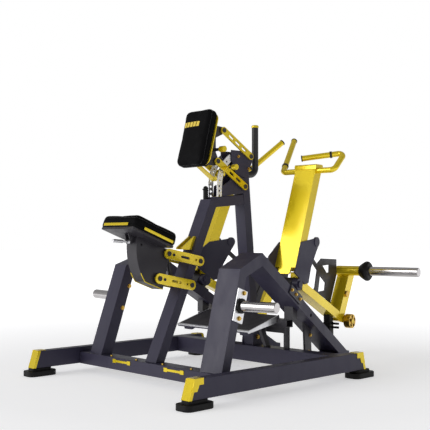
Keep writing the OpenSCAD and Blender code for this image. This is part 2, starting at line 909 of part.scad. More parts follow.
// Five-spoked wheel on the arm's lower corner, and the hex head on its upright.
module spoked_wheel() {
    color(GOLD) {
        difference() {
            union() {
                pin(wheel_at, -40, -5, 38);
                pin(wheel_at, -45, -40, 15);
            }
            pin(wheel_at, -50, 0, 10.02);
            for (k = [0 : 4]) {
                pin(polar(wheel_at, 25.5, 18 + k * 72), -50, 0, 8.5);
            }
        }
        translate([1198, 0, 389]) rotate([90, 0, 0]) cylinder(h = 12, r = 19, $fn = 6);
    }
}

module right_lever_beam() { side(false) lever_beam(); }
module right_weight_arm() { side(false) weight_arm(); }
module right_hub_plates() { side(false) hub_plates(); }
module right_brace_plate() { side(false) brace_plate(); }
module right_work_sleeve() { side(false) work_sleeve(); }
module right_horn_bumper() { side(false) horn_bumper(); }
module right_handle() { side(false) handle(); }
module right_handle_caps() { side(false) handle_caps(); }
module right_spoked_wheel() { side(false) spoked_wheel(); }
module left_lever_beam() { side(true) lever_beam(); }
module left_weight_arm() { side(true) weight_arm(); }
module left_hub_plates() { side(true) hub_plates(); }
module left_brace_plate() { side(true) brace_plate(); }
module left_work_sleeve() { side(true) work_sleeve(); }
module left_horn_bumper() { side(true) horn_bumper(); }
module left_handle() { side(true) handle(); }
module left_handle_caps() { side(true) handle_caps(); }
module left_spoked_wheel() { side(true) spoked_wheel(); }

// ---------------------------------------------------------------- seat

seat_bar_y = 46;
seat_bar_t = 8;
// Rise of the pad's face above the carriage's own slope line.
seat_lift = 12;

// Flat bar with bores at both ends, a middle slot and two spare holes.
module seat_bars(rear, front, cross_at, cross_r) {
    e = unit(front - rear);
    placed() {
        both() difference() {
            bar(rear, front, 25, seat_bar_y, seat_bar_y + seat_bar_t);
            for (at = [rear, front]) {
                pin(at, seat_bar_y - 1, seat_bar_y + seat_bar_t + 1, stub_r + run_gap);
            }
            bar(rear + 84 * e, rear + 132 * e, 6, seat_bar_y - 1, seat_bar_y + seat_bar_t + 1);
            pin(front - 30 * e, seat_bar_y - 1, seat_bar_y + seat_bar_t + 1, 6);
        }
        pin(cross_at, -seat_bar_y - seat_bar_t, seat_bar_y + seat_bar_t, cross_r);
    }
}

gas_pin_r = 7;

module seat_upper_links() {
    color(YELLOW) seat_bars(seat_hi_rear, seat_hi_front, seat_pin_hi, gas_pin_r);
}

module seat_lower_links() {
    color(YELLOW) seat_bars(seat_lo_rear, seat_lo_front, seat_pin_lo, gas_pin_r);
}

// Folded cover below the seat, with its pivot pins and the plate under the pad.
module seat_carriage() {
    half = 37;
    curve_at = [398.4, 642.4];
    curve_r = 260;
    hi = seat_hi_rear;
    lo = seat_lo_rear;
    top_rear = seat_point(113, -66);
    top_front = seat_point(248, -66);
    curve = [for (a = [171.9 : 5.6 : 216.8]) polar(curve_at, curve_r, a)];
    outline = concat([[300, 446], [337, 596], [325, 641], top_front, top_rear], curve);
    gaps = [-40, -40, for (i = [3 : len(outline)]) sheet];
    color(DARK) placed() {
        difference() {
            union() {
                difference() {
                    slab(outline, -half, half);
                    slab(inset(outline, gaps), sheet - half, half - sheet);
                }
                for (y = [-half, half - sheet]) {
                    pin(hi, y, y + sheet, 24);
                    pin(lo, y, y + sheet, 24);
                }
            }
            pin([168, 661], -half - 1, half + 1, 5);
        }
        both() {
            for (at = [hi, lo]) {
                pin(at, half, seat_bar_y - 0.3, 16);
                pin(at, half, seat_bar_y + seat_bar_t + 0.3, stub_r);
                pin(at, seat_bar_y + seat_bar_t + 0.3, seat_bar_y + seat_bar_t + 4, stub_r + 3);
            }
            slab([[120, 664], [142, 672], seat_point(108, -65), seat_point(72, -65)], 12, 16);
        }
        pin(lever_at, -12, 12, lever_pin_r);
        translate([seat_top[0], 0, seat_top[1]]) rotate([0, seat_tilt, 0])
            translate([12, -118, -66]) cube([seat_len - 24, 236, 66 + seat_lift - seat_t]);
    }
}

module seat_pad() {
    color(BLACK) placed() translate([seat_top[0], 0, seat_top[1]]) rotate([0, seat_tilt, 0])
        translate([seat_len / 2, 0, seat_lift - seat_t]) rounded_block(seat_len, seat_w, seat_t, 34);
}

// Yellow strips along the pad's rear and side faces.
module seat_trim_strips() {
    y = seat_w / 2;
    low = seat_lift - seat_t + 1;
    color(YELLOW) placed() translate([seat_top[0], 0, seat_top[1]]) rotate([0, seat_tilt, 0]) {
        translate([-3, 50 - y, low]) cube([3, seat_w - 100, 13]);
        both() {
            translate([58, y, low]) cube([182, 3, 13]);
        }
    }
}

module seat_release_lever() {
    color(SILVER) placed() difference() {
        union() {
            pin(lever_at, -11.7, 11.7, 9);
            rod([lever_at[0], 0, lever_at[1]], [78, 0, 677], 5);
            rod([84, 0, 677], [30, 0, 680], 8);
        }
        pin(lever_at, -12, 12, lever_pin_r + run_gap);
    }
}

// Gas spring between the two pairs of bars.
gas_axis = unit(seat_pin_hi - seat_pin_lo);
gas_len = norm(seat_pin_hi - seat_pin_lo);

function gas_point(s) = [seat_pin_lo[0] + gas_axis[0] * s, 0, seat_pin_lo[1] + gas_axis[1] * s];

rod_r = 5;

module gas_cylinder() {
    color(BLACK) placed() difference() {
        union() {
            pin(seat_pin_lo, -8, 8, 12.5);
            rod(gas_point(9), gas_point(92), 11);
        }
        pin(seat_pin_lo, -9, 9, gas_pin_r + run_gap);
        rod(gas_point(15), gas_point(93), rod_r + run_gap);
    }
}

module gas_rod() {
    eye_slack = 1.8;
    color(CHROME) placed() difference() {
        union() {
            rod(gas_point(34), gas_point(gas_len - 10), rod_r);
            pin(seat_pin_hi, -8, 8, 14);
        }
        pin(seat_pin_hi, -9, 9, gas_pin_r + eye_slack);
    }
}

// ---------------------------------------------------------------- chest pad

pad_bar_y = 44;
pad_bar_t = 8;
pad_bar_r = 18;
// Rise of the pad along its face above the carriage's foot.
chest_rise = 8;

module pad_bars(rear, front, slots) {
    e = unit(front - rear);
    y0 = pad_bar_y - 1;
    y1 = pad_bar_y + pad_bar_t + 1;
    difference() {
        bar(rear, front, pad_bar_r, pad_bar_y, pad_bar_y + pad_bar_t);
        for (at = [rear, front]) {
            pin(at, y0, y1, stub_r + run_gap);
        }
        for (s = slots) {
            bar(rear + (s - 13) * e, rear + (s + 13) * e, 6.5, y0, y1);
        }
    }
}

// The upper bar is on the right-hand side only.
module pad_upper_links() {
    color(YELLOW) placed() mirror([0, 1, 0]) pad_bars(pad_hi_rear, pad_hi_front, [62, 117, 172]);
}

pop_at = polar(pad_lo_front, strip_r, rest_angle);
pop_r = 5;
barrel_end = 84;

// The right-hand lower bar also carries the pull pin's barrel.
module pad_lower_links() {
    front = pad_bar_y + pad_bar_t;
    color(YELLOW) placed() {
        pad_bars(pad_lo_rear, pad_lo_front, [117, 172]);
        mirror([0, 1, 0]) difference() {
            union() {
                pad_bars(pad_lo_rear, pad_lo_front, [117, 172]);
                pin(pop_at, front, barrel_end, 10);
            }
            pin(pop_at, pad_bar_y - 1, barrel_end + 1, pop_r + run_gap);
        }
    }
}

pop_knob = 96;
pop_collar = 12;

// Pull pin that locks a bar to the adjuster strip, stored drawn out.
module pop_pin() {
    nose = 36.6;
    color(BLACK) placed() mirror([0, 1, 0]) {
        pin(pop_at, nose, pop_knob, pop_r);
        pin(pop_at, pop_knob, pop_knob + pop_collar, 9);
    }
}

module pop_pin_cap() {
    root = pop_knob + pop_collar;
    color(YELLOW) placed() mirror([0, 1, 0]) pin(pop_at, root, root + 26, 15);
}

module carriage_pin(at, face) {
    outer = pad_bar_y + pad_bar_t + 0.3;
    pin(at, face, pad_bar_y - 0.3, 14);
    pin(at, face, outer, stub_r);
    pin(at, outer, outer + 3.7, stub_r + 3);
}

// Side plates, back plate and hand peg that carry the pad.
module pad_carriage() {
    y0 = 33;
    t = 5;
    hi = pad_hi_rear;
    lo = pad_lo_rear;
    peg = [629, 1140];
    side = [chest_point(72, 36), [634, 1062], [654, 1062], [672, 1078], [664, 1108], [652, 1130],
            [652, 1205], [712, 1232], [716, 1250], [704, 1264], chest_point(72, 250)];
    color(DARK) placed() {
        both() {
            slab(side, y0, y0 + t);
            carriage_pin(lo, y0 + t);
        }
        mirror([0, 1, 0]) carriage_pin(hi, y0 + t);
        slab([chest_point(66, 36), chest_point(72, 36), chest_point(72, 262), chest_point(66, 262)],
             -y0 - t, y0 + t);
        pin(peg, -94, -y0 - t, 8);
    }
}

// Yellow plate behind the pad, with a tail folded forwards under the carriage.
module pad_backing() {
    inset_side = 1;
    inset_end = 16;
    color(YELLOW) placed() {
        translate([chest_foot[0], 0, chest_foot[1]]) rotate([0, chest_tilt, 0])
            rotate([0, 90, 0]) translate([-chest_len / 2 - chest_rise, 0, pad_t])
                rounded_block(chest_len - 2 * inset_end, chest_w - 2 * inset_side, 6, 40);
        slab([chest_point(66, 27), [664, 984], [668, 992], chest_point(66, 33)], -28, 5);
        pin([629, 1140], -126, -94, 15);
    }
}

module chest_pad() {
    color(BLACK) placed() translate([chest_foot[0], 0, chest_foot[1]]) rotate([0, chest_tilt, 0])
        rotate([0, 90, 0]) translate([-chest_len / 2 - chest_rise, 0, 0])
            rounded_block(chest_len, chest_w, pad_t, 34);
}

// ---------------------------------------------------------------- nodes

side_rails();
cross_beams();
right_side_frame();
left_side_frame();
front_outriggers();
rubber_feet();
cover_plates();
seat_column();
seat_stop_gusset();
crosspiece();
mast_post();
mast_head_plates();
pad_adjuster_strips();
column_post_plug();
link_pivot_pins();
foot_platform();
platform_tread();
platform_edge_strips();
platform_supports();
storage_flanges();
storage_collars();
storage_sleeves();
pillow_blocks();
rest_stops();
frame_bolts();
fixed_grip_bar();
fixed_grip_cap();
right_lever_beam();
right_weight_arm();
right_hub_plates();
right_brace_plate();
right_work_sleeve();
right_horn_bumper();
right_handle();
right_handle_caps();
right_spoked_wheel();
left_lever_beam();
left_weight_arm();
left_hub_plates();
left_brace_plate();
left_work_sleeve();
left_horn_bumper();
left_handle();
left_handle_caps();
left_spoked_wheel();
seat_upper_links();
seat_lower_links();
seat_carriage();
seat_pad();
seat_trim_strips();
seat_release_lever();
gas_cylinder();
gas_rod();
pad_upper_links();
pad_lower_links();
pad_carriage();
pad_backing();
chest_pad();
pop_pin();
pop_pin_cap();
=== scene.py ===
"""Looks of the seated row: finishes, upholstery and small hardware around the fixed frame."""
import json
import math

import bmesh
import bpy
from mathutils import Matrix, Vector
from mathutils.bvhtree import BVHTree

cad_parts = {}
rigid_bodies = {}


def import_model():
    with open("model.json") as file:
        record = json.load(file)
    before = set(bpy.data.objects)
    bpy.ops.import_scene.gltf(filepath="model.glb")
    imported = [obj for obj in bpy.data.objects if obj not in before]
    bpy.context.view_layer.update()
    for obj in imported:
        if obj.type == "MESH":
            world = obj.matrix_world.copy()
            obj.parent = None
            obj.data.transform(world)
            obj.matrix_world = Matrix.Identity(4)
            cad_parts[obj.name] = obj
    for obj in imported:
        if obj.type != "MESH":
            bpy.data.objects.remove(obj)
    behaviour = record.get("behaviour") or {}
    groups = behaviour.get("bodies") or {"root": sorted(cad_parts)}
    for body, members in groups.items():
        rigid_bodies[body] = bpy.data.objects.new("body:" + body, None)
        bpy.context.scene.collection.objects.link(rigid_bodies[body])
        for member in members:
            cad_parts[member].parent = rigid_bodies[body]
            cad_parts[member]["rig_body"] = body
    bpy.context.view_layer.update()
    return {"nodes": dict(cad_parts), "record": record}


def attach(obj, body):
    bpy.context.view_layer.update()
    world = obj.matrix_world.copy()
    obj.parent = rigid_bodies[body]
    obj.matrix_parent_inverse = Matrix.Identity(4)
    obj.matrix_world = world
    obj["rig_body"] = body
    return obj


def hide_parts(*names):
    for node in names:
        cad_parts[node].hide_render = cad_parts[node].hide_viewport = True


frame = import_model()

MM = 0.001
MID_X = 0.71602  # X of the machine's middle, measured from the rails' rear top edge
NODES = frame["nodes"]
BODY_OF = {name: node["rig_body"] for name, node in NODES.items()}
SLOT_OF = {part["node"]: part["material_slot"] for part in frame["record"]["subparts"]}


# ---------------------------------------------------------------- materials

class Shader:
    """A Principled material whose patterns sit in the piece's own space, in metres."""

    def __init__(self, name, roughness, metallic=0.0, **sockets):
        self.material = bpy.data.materials.new(name)
        self.material.use_nodes = True
        self.tree = self.material.node_tree
        self.bsdf = self.tree.nodes["Principled BSDF"]
        self.bsdf.inputs["Roughness"].default_value = roughness
        self.bsdf.inputs["Metallic"].default_value = metallic
        for socket, value in sockets.items():
            self.bsdf.inputs[socket.replace("_", " ")].default_value = value
        self.space = self.tree.nodes.new("ShaderNodeTexCoord").outputs["Object"]
        self.height = None

    def node(self, kind, **settings):
        made = self.tree.nodes.new("ShaderNode" + kind)
        for key, value in settings.items():
            setattr(made, key, value)
        return made

    def link(self, source, target):
        self.tree.links.new(source, target)

    def stretched(self, scale):
        mapping = self.node("Mapping")
        mapping.inputs["Scale"].default_value = scale
        self.link(self.space, mapping.inputs["Vector"])
        return mapping.outputs["Vector"]

    def noise(self, scale, detail=3.0, stretch=None):
        made = self.node("TexNoise")
        made.inputs["Scale"].default_value = scale
        made.inputs["Detail"].default_value = detail
        self.link(self.stretched(stretch) if stretch else self.space, made.inputs["Vector"])
        return made.outputs["Fac"]

    def cells(self, scale):
        made = self.node("TexVoronoi", feature="DISTANCE_TO_EDGE")
        made.inputs["Scale"].default_value = scale
        self.link(self.space, made.inputs["Vector"])
        return made.outputs["Distance"]

    def remap(self, value, low, high, start=0.3, stop=0.7):
        made = self.node("MapRange")
        self.link(value, made.inputs["Value"])
        for socket, number in (("From Min", start), ("From Max", stop), ("To Min", low), ("To Max", high)):
            made.inputs[socket].default_value = number
        return made.outputs["Result"]

    def blend(self, factor, first, second):
        made = self.node("Mix", data_type="RGBA")
        self.link(factor, made.inputs["Factor"])
        for socket, colour in ((6, first), (7, second)):
            if isinstance(colour, tuple):
                made.inputs[socket].default_value = (*colour, 1.0)
            else:
                self.link(colour, made.inputs[socket])
        return made.outputs[2]

    def colour(self, source):
        if isinstance(source, tuple):
            self.bsdf.inputs["Base Color"].default_value = (*source, 1.0)
        else:
            self.link(source, self.bsdf.inputs["Base Color"])

    def rough(self, source):
        self.link(source, self.bsdf.inputs["Roughness"])

    def bump(self, height, depth, strength=1.0):
        """Adds a relief of this depth in metres below any earlier one."""
        made = self.node("Bump")
        made.inputs["Strength"].default_value = strength
        made.inputs["Distance"].default_value = depth
        self.link(height, made.inputs["Height"])
        if self.height:
            self.link(self.height, made.inputs["Normal"])
        self.height = made.outputs["Normal"]
        self.link(self.height, self.bsdf.inputs["Normal"])


def painted(name, dark, light, roughness, metallic=0.0, grain=900.0, grain_depth=0.00006, **sockets):
    """Sprayed coat: slow drift of colour and gloss, with an orange-peel relief."""
    shader = Shader(name, roughness, metallic, **sockets)
    drift = shader.noise(4.0)
    shader.colour(shader.blend(shader.remap(drift, 0.0, 1.0), dark, light))
    smudge = shader.noise(22.0, 6.0, (1.0, 1.0, 0.35))
    shader.rough(shader.remap(smudge, roughness * 0.82, roughness * 1.2))
    shader.bump(shader.noise(grain, 2.0), grain_depth, 0.6)
    return shader.material


def frame_powder_coat():
    return painted("frame_powder_coat", (0.032, 0.029, 0.054), (0.039, 0.035, 0.063), 0.42,
                   Specular_IOR_Level=0.3, Coat_Weight=0.05, Coat_Roughness=0.25)


def dark_steel():
    return painted("dark_steel", (0.020, 0.018, 0.024), (0.030, 0.027, 0.034), 0.36,
                   Specular_IOR_Level=0.5)


def yellow_paint():
    return painted("yellow_paint", (0.82, 0.60, 0.008), (0.90, 0.69, 0.012), 0.22, 0.5,
                   grain=300.0, grain_depth=0.000004, Coat_Weight=0.4, Coat_Roughness=0.1)


def black_rubber():
    shader = Shader("black_rubber", 0.5, Specular_IOR_Level=0.2)
    shader.colour(shader.blend(shader.noise(30.0), (0.003, 0.003, 0.003), (0.007, 0.0065, 0.0065)))
    shader.rough(shader.remap(shader.noise(60.0), 0.36, 0.58))
    shader.bump(shader.noise(1600.0, 2.0), 0.00008, 0.7)
    return shader.material


def black_grip():
    shader = Shader("black_grip", 0.42, Specular_IOR_Level=0.5)
    shader.colour(shader.blend(shader.noise(50.0), (0.008, 0.008, 0.009), (0.018, 0.017, 0.018)))
    shader.bump(shader.cells(420.0), 0.0004, 0.6)
    return shader.material


def brushed(name, dark, light, roughness, stretch, scale=60.0, **sockets):
    """Bare metal with streaks drawn out along the direction of least stretch."""
    shader = Shader(name, roughness, 1.0, **sockets)
    streak = shader.noise(scale, 5.0, stretch)
    shader.colour(shader.blend(shader.remap(streak, 0.0, 1.0), dark, light))
    shader.rough(shader.remap(streak, roughness * 0.7, roughness * 1.35))
    shader.bump(streak, 0.00001, 0.1)
    return shader.material


def chrome_sleeve():
    return brushed("chrome_sleeve", (0.50, 0.48, 0.48), (0.62, 0.60, 0.60), 0.2, (3.0, 0.15, 3.0))


def zinc_plate():
    return brushed("zinc_plate", (0.84, 0.84, 0.87), (0.92, 0.92, 0.94), 0.38, (1.0, 1.0, 6.0))


def gold_hardware():
    return brushed("gold_hardware", (0.50, 0.30, 0.05), (0.76, 0.52, 0.12), 0.26, (1.0, 4.0, 1.0), 90.0)


def upholstery():
    """Black grained vinyl: pebbles between creases, with a slow change of gloss."""
    shader = Shader("upholstery", 0.6, Specular_IOR_Level=0.05)
    shader.colour(shader.blend(shader.noise(14.0), (0.0030, 0.0030, 0.0034), (0.0050, 0.0048, 0.0055)))
    shader.rough(shader.remap(shader.noise(35.0, 5.0), 0.48, 0.62))
    shader.bump(shader.noise(60.0, 4.0), 0.0006, 0.25)
    shader.bump(shader.cells(650.0), 0.00025, 0.6)
    return shader.material


def tread_rubber():
    shader = Shader("tread_rubber", 0.5, Specular_IOR_Level=0.5)
    shader.colour(shader.blend(shader.noise(25.0, 5.0), (0.030, 0.028, 0.033), (0.050, 0.046, 0.052)))
    shader.bump(shader.cells(500.0), 0.0003, 0.5)
    return shader.material


def grip_cap_plastic():
    shader = Shader("grip_cap_plastic", 0.3, Specular_IOR_Level=0.5)
    shader.colour(shader.blend(shader.noise(40.0), (0.008, 0.008, 0.008), (0.016, 0.016, 0.016)))
    shader.bump(shader.noise(900.0, 2.0), 0.00004, 0.6)
    return shader.material


def thread(name, dark, light):
    """Twisted sewing thread or cord."""
    shader = Shader(name, 0.6, Sheen_Weight=0.3)
    shader.colour(shader.blend(shader.noise(700.0), dark, light))
    shader.bump(shader.noise(1500.0, 2.0), 0.0002, 0.8)
    return shader.material


FINISHES = {
    "frame_powder_coat": frame_powder_coat(), "dark_steel": dark_steel(), "yellow_paint": yellow_paint(),
    "black_rubber": black_rubber(), "black_grip": black_grip(), "chrome_sleeve": chrome_sleeve(),
    "zinc_plate": zinc_plate(), "gold_hardware": gold_hardware(), "upholstery": upholstery(),
    "tread_rubber": tread_rubber(), "grip_cap_plastic": grip_cap_plastic(),
}


# ---------------------------------------------------------------- pieces

def new_object(name, mesh, slot, material=None):
    made = bpy.data.objects.new(name, mesh)
    bpy.context.scene.collection.objects.link(made)
    made.data.materials.clear()
    made.data.materials.append(material or FINISHES[slot])
    return made


def finished(obj):
    """The object's mesh with every modifier worked in."""
    graph = bpy.context.evaluated_depsgraph_get()
    mesh = bpy.data.meshes.new_from_object(obj.evaluated_get(graph))
    obj.modifiers.clear()
    obj.data = mesh
    return obj


def smooth(obj, angle):
    obj.data.shade_smooth()
    for edge in obj.data.edges:
        edge.use_edge_sharp = False
    obj.data.set_sharp_from_angle(angle=math.radians(angle))


SAME_POINT = 2e-6  # metres between vertices that count as one
FLAT = math.radians(0.4)  # bend below which two faces count as one
SHARP = math.radians(32)  # bend above which an edge is rounded


def softened(node, width):
    """Stands for a CAD node with the same shape and its sharp edges rounded."""
    mesh = NODES[node].data.copy()
    cleaned = bmesh.new()
    cleaned.from_mesh(mesh)
    bmesh.ops.remove_doubles(cleaned, verts=cleaned.verts, dist=SAME_POINT)
    bmesh.ops.dissolve_limit(cleaned, angle_limit=FLAT, verts=cleaned.verts,
                             edges=cleaned.edges)
    cleaned.to_mesh(mesh)
    cleaned.free()
    made = new_object("soft_" + node, mesh, SLOT_OF[node])
    made.data.shade_smooth()
    bevel = made.modifiers.new("edges", "BEVEL")
    bevel.width = width
    bevel.segments = 2
    bevel.limit_method = "ANGLE"
    bevel.angle_limit = SHARP
    bevel.use_clamp_overlap = True
    finished(made)
    smooth(made, 50)
    weigh = made.modifiers.new("flat_faces", "WEIGHTED_NORMAL")
    weigh.keep_sharp = True
    weigh.weight = 100
    finished(made)
    made.data.materials.clear()
    made.data.materials.append(FINISHES[SLOT_OF[node]])
    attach(made, BODY_OF[node])
    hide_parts(node)
    return made


EDGE_WIDTHS = {
    "side_rails": 5, "cross_beams": 5, "right_side_frame": 7, "left_side_frame": 7, "front_outriggers": 6,
    "seat_column": 5, "crosspiece": 4, "mast_post": 5, "mast_head_plates": 1, "cover_plates": 1,
    "rubber_feet": 2.5, "seat_stop_gusset": 1, "foot_platform": 2, "platform_tread": 0.8,
    "platform_edge_strips": 1, "platform_supports": 3, "storage_flanges": 1, "storage_collars": 2,
    "pillow_blocks": 2, "rest_stops": 2.5, "frame_bolts": 1, "link_pivot_pins": 0.8,
    "pad_adjuster_strips": 0.6, "fixed_grip_cap": 1.5,
    "seat_upper_links": 1, "seat_lower_links": 1, "seat_carriage": 1, "seat_trim_strips": 0.8,
    "pad_upper_links": 1, "pad_lower_links": 1, "pad_carriage": 0.8, "pad_backing": 1, "pop_pin": 1.5,
    "pop_pin_cap": 1.5,
}
ARM_EDGE_WIDTHS = {
    "lever_beam": 4, "weight_arm": 4, "hub_plates": 1.2, "brace_plate": 1.2, "horn_bumper": 2,
    "handle_caps": 0.8, "spoked_wheel": 1.5,
}
for side in ("right_", "left_"):
    EDGE_WIDTHS.update({side + node: width for node, width in ARM_EDGE_WIDTHS.items()})
for node, width in EDGE_WIDTHS.items():
    softened(node, width * MM)
for node, obj in NODES.items():
    obj.data.materials.clear()
    obj.data.materials.append(FINISHES[SLOT_OF[node]])
    smooth(obj, 30)


# ---------------------------------------------------------------- upholstery

def tilted(origin, tilt, lift, upright=False):
    """Frame of a pad: x along its length, y across it and z out of its face."""
    turn = math.radians(tilt)
    along = Vector((math.cos(turn), 0, -math.sin(turn)))
    out = Vector((math.sin(turn), 0, math.cos(turn)))
    x, z = (out, -along) if upright else (along, out)
    place = Vector((origin[0] * MM - MID_X, 0, origin[1] * MM)) + out * lift * MM
    matrix = Matrix.Identity(4)
    for column, axis in enumerate((x, Vector((0, 1, 0)), z)):
        matrix.col[column][:3] = axis
    matrix.translation = place
    return matrix


def ring_point(length, width, corner, inset, share):
    """Point of a rounded rectangle at a share of one turn."""
    turn = share * math.tau
    radius = corner - inset
    reach_x = length / 2 - corner
    reach_y = width / 2 - corner
    direction = Vector((math.cos(turn), math.sin(turn)))
    span = min(1.0 / max(abs(direction.x), 1e-9), 1.0 / max(abs(direction.y), 1e-9))
    square = direction * span
    place = Vector((square.x * (reach_x + corner), square.y * (reach_y + corner)))
    inner = Vector((max(-reach_x, min(reach_x, place.x)), max(-reach_y, min(reach_y, place.y))))
    away = place - inner
    if away.length < 1e-9:
        return inner
    return inner + away.normalized() * radius


def cushion_blank(length, width, thick, corner, edge):
    """Closed rounded block a little smaller than the finished cushion."""
    top = [(edge * (1 - math.sin(a)), -edge * (1 - math.cos(a)))
           for a in (math.pi / 2 * step / 5 for step in range(5, -1, -1))]
    foot = 0.004
    profile = [(foot, -thick), (0.0, -thick + foot)] + top
    count = 96
    shape = bmesh.new()
    rings = []
    for inset, z in profile:
        ring = []
        for i in range(count):
            point = ring_point(length, width, corner, inset, i / count)
            ring.append(shape.verts.new((point.x + length / 2, point.y, z)))
        rings.append(ring)
    for lower, upper in zip(rings, rings[1:]):
        for i in range(count):
            j = (i + 1) % count
            shape.faces.new((lower[i], lower[j], upper[j], upper[i]))
    shape.faces.new(list(reversed(rings[0])))
    shape.faces.new(rings[-1])
    mesh = bpy.data.meshes.new("blank")
    shape.to_mesh(mesh)
    shape.free()
    return mesh


BASE_BAND = 0.010  # height of the cover that is stapled to the board
FILLING_STEPS = 20


def inflate(obj, thick, cap):
    """Fills the blank by cloth pressure, with its base held on the board."""
    start = [v.co.copy() for v in obj.data.vertices]
    base = obj.vertex_groups.new(name="base")
    base.add([i for i, co in enumerate(start) if co.z < -thick + BASE_BAND], 1.0, "REPLACE")
    cloth = obj.modifiers.new("stuffing", "CLOTH")
    settings = cloth.settings
    settings.use_pressure = True
    settings.uniform_pressure_force = 4.0
    settings.vertex_group_mass = "base"
    settings.effector_weights.gravity = 0.0
    settings.quality = 6
    settings.tension_stiffness = 22.0
    settings.compression_stiffness = 22.0
    settings.bending_stiffness = 2.0
    scene = bpy.context.scene
    for step in range(1, FILLING_STEPS + 1):
        scene.frame_set(step)
    finished(obj)
    scene.frame_set(1)
    moves = [v.co - co for v, co in zip(obj.data.vertices, start)]
    longest = max(move.length for move in moves)
    share = min(1.0, cap / max(longest, 1e-9))
    for vertex, co, move in zip(obj.data.vertices, start, moves):
        vertex.co = co + move * share


def crown(obj, length, width, rise):
    """Lifts the face towards its middle."""
    for vertex in obj.data.vertices:
        u = (vertex.co.x / length - 0.5) * 2
        v = vertex.co.y / width * 2
        lift = max(0.0, 1 - u * u) * max(0.0, 1 - v * v)
        if vertex.co.z > -0.03:
            vertex.co.z += rise * lift


def creased(obj, levels, depth, length, width):
    """Draws the cover in along seams that run round the sides."""
    centre = Vector((length / 2, 0, 0))
    for vertex in obj.data.vertices:
        away = Vector((vertex.co.x - centre.x, vertex.co.y, 0))
        if away.length < 0.3 * width:
            continue
        pull = sum(math.exp(-((vertex.co.z - level) / 0.0028) ** 2) for level in levels)
        vertex.co -= away.normalized() * depth * min(1.0, pull)


def surface(obj):
    mesh = obj.data
    return BVHTree.FromPolygons([v.co for v in mesh.vertices], [list(p.vertices) for p in mesh.polygons])


RAY_CORNER = 0.034  # corner of the outlines between which the rays of a perimeter run


def perimeter(tree, length, width, level, count, lift):
    """Points on the cushion's side at one level, a little off the surface."""
    points = []
    for i in range(count):
        outer = ring_point(length, width, RAY_CORNER, -0.03, i / count)
        inner = ring_point(length, width, RAY_CORNER, 0.033, i / count)
        start = Vector((outer.x + length / 2, outer.y, level))
        stop = Vector((inner.x + length / 2, inner.y, level))
        hit, normal, _, _ = tree.ray_cast(start, (stop - start).normalized())
        if hit is not None:
            points.append(hit + normal * lift)
    return points


def tube(points, radius):
    """Round closed cord through the points."""
    shape = bmesh.new()
    add_tube(shape, points, radius, 8, True)
    mesh = bpy.data.meshes.new("tube")
    shape.to_mesh(mesh)
    shape.free()
    mesh.shade_smooth()
    return mesh


def add_tube(shape, points, radius, sides, closed):
    count = len(points)
    rings = []
    for i, point in enumerate(points):
        before = points[i - 1] if closed or i else point
        after = points[(i + 1) % count] if closed or i < count - 1 else point
        along = (after - before).normalized()
        side = along.orthogonal() if abs(along.z) > 0.9 else along.cross(Vector((0, 0, 1)))
        side.normalize()
        up = side.cross(along)
        rings.append([shape.verts.new(point + (side * math.cos(a) + up * math.sin(a)) * radius)
                      for a in (math.tau * k / sides for k in range(sides))])
    pairs = list(zip(rings, rings[1:])) + ([(rings[-1], rings[0])] if closed else [])
    for lower, upper in pairs:
        for k in range(sides):
            shape.faces.new((lower[k], lower[k - 1], upper[k - 1], upper[k]))
    if not closed:
        shape.faces.new(rings[0])
        shape.faces.new(list(reversed(rings[-1])))


def stitches(points, length, gap, radius):
    """Short threads laid end to end along closed points."""
    shape = bmesh.new()
    trail = points + points[:1]
    spent = 0.0
    for a, b in zip(trail, trail[1:]):
        step = (b - a).length
        along = (b - a).normalized()
        while spent < step:
            start = a + along * spent
            add_tube(shape, [start, start + along * length * 0.5, start + along * length], radius, 6, False)
            spent += length + gap
        spent -= step
    mesh = bpy.data.meshes.new("stitches")
    shape.to_mesh(mesh)
    shape.free()
    mesh.shade_smooth()
    return mesh


def put(obj, matrix, body):
    obj.data.transform(matrix)
    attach(obj, body)
    return obj


THREAD = thread("sewing_thread", (0.030, 0.030, 0.033), (0.050, 0.050, 0.055))
BADGE = thread("badge_thread", (0.72, 0.50, 0.03), (0.86, 0.66, 0.06))


COVER_CORNER = 0.030  # corner of the blank, seen from above
COVER_EDGE_RADIUS = 0.022  # rounding of the blank's upper edge
FILLING_CAP = 0.007  # farthest that the filling moves the cover


def cushion(name, node, body, matrix, length, width, thick=0.060, grow=0.006):
    """Padded cover with piped and stitched seams round its sides. Its origin is its foot edge."""
    mesh = cushion_blank(length - 2 * grow, width - 2 * grow, thick - grow, COVER_CORNER, COVER_EDGE_RADIUS)
    mesh.transform(Matrix.Translation((grow, 0, -grow)))
    pad = new_object(name, mesh, "upholstery")
    remesh = pad.modifiers.new("even", "REMESH")
    remesh.mode = "VOXEL"
    remesh.voxel_size = 0.005
    finished(pad)
    inflate(pad, thick, FILLING_CAP)
    crown(pad, length, width, 0.003)
    relax = pad.modifiers.new("relax", "SMOOTH")
    relax.iterations = 6
    relax.factor = 0.5
    finished(pad)
    seams = (-0.028, 0.012 - thick)
    fine = pad.modifiers.new("fine", "SUBSURF")
    fine.levels = fine.render_levels = 1
    finished(pad)
    creased(pad, seams, 0.0014, length, width)
    pad.data.materials.clear()
    pad.data.materials.append(FINISHES["upholstery"])
    pad.data.shade_smooth()
    tree = surface(pad)
    for label, level in zip(("top", "foot"), seams):
        piping = new_object(f"{name}_{label}_piping", tube(
            perimeter(tree, length, width, level, 160, 0.0004), 0.0015), "upholstery")
        put(piping, matrix, body)
    sewn = new_object(name + "_stitching", stitches(
        perimeter(tree, length, width, seams[0] + 0.005, 160, 0.0001), 0.0042, 0.0022, 0.0005),
        "upholstery", THREAD)
    put(sewn, matrix, body)
    put(pad, matrix, body)
    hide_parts(node)
    return tree


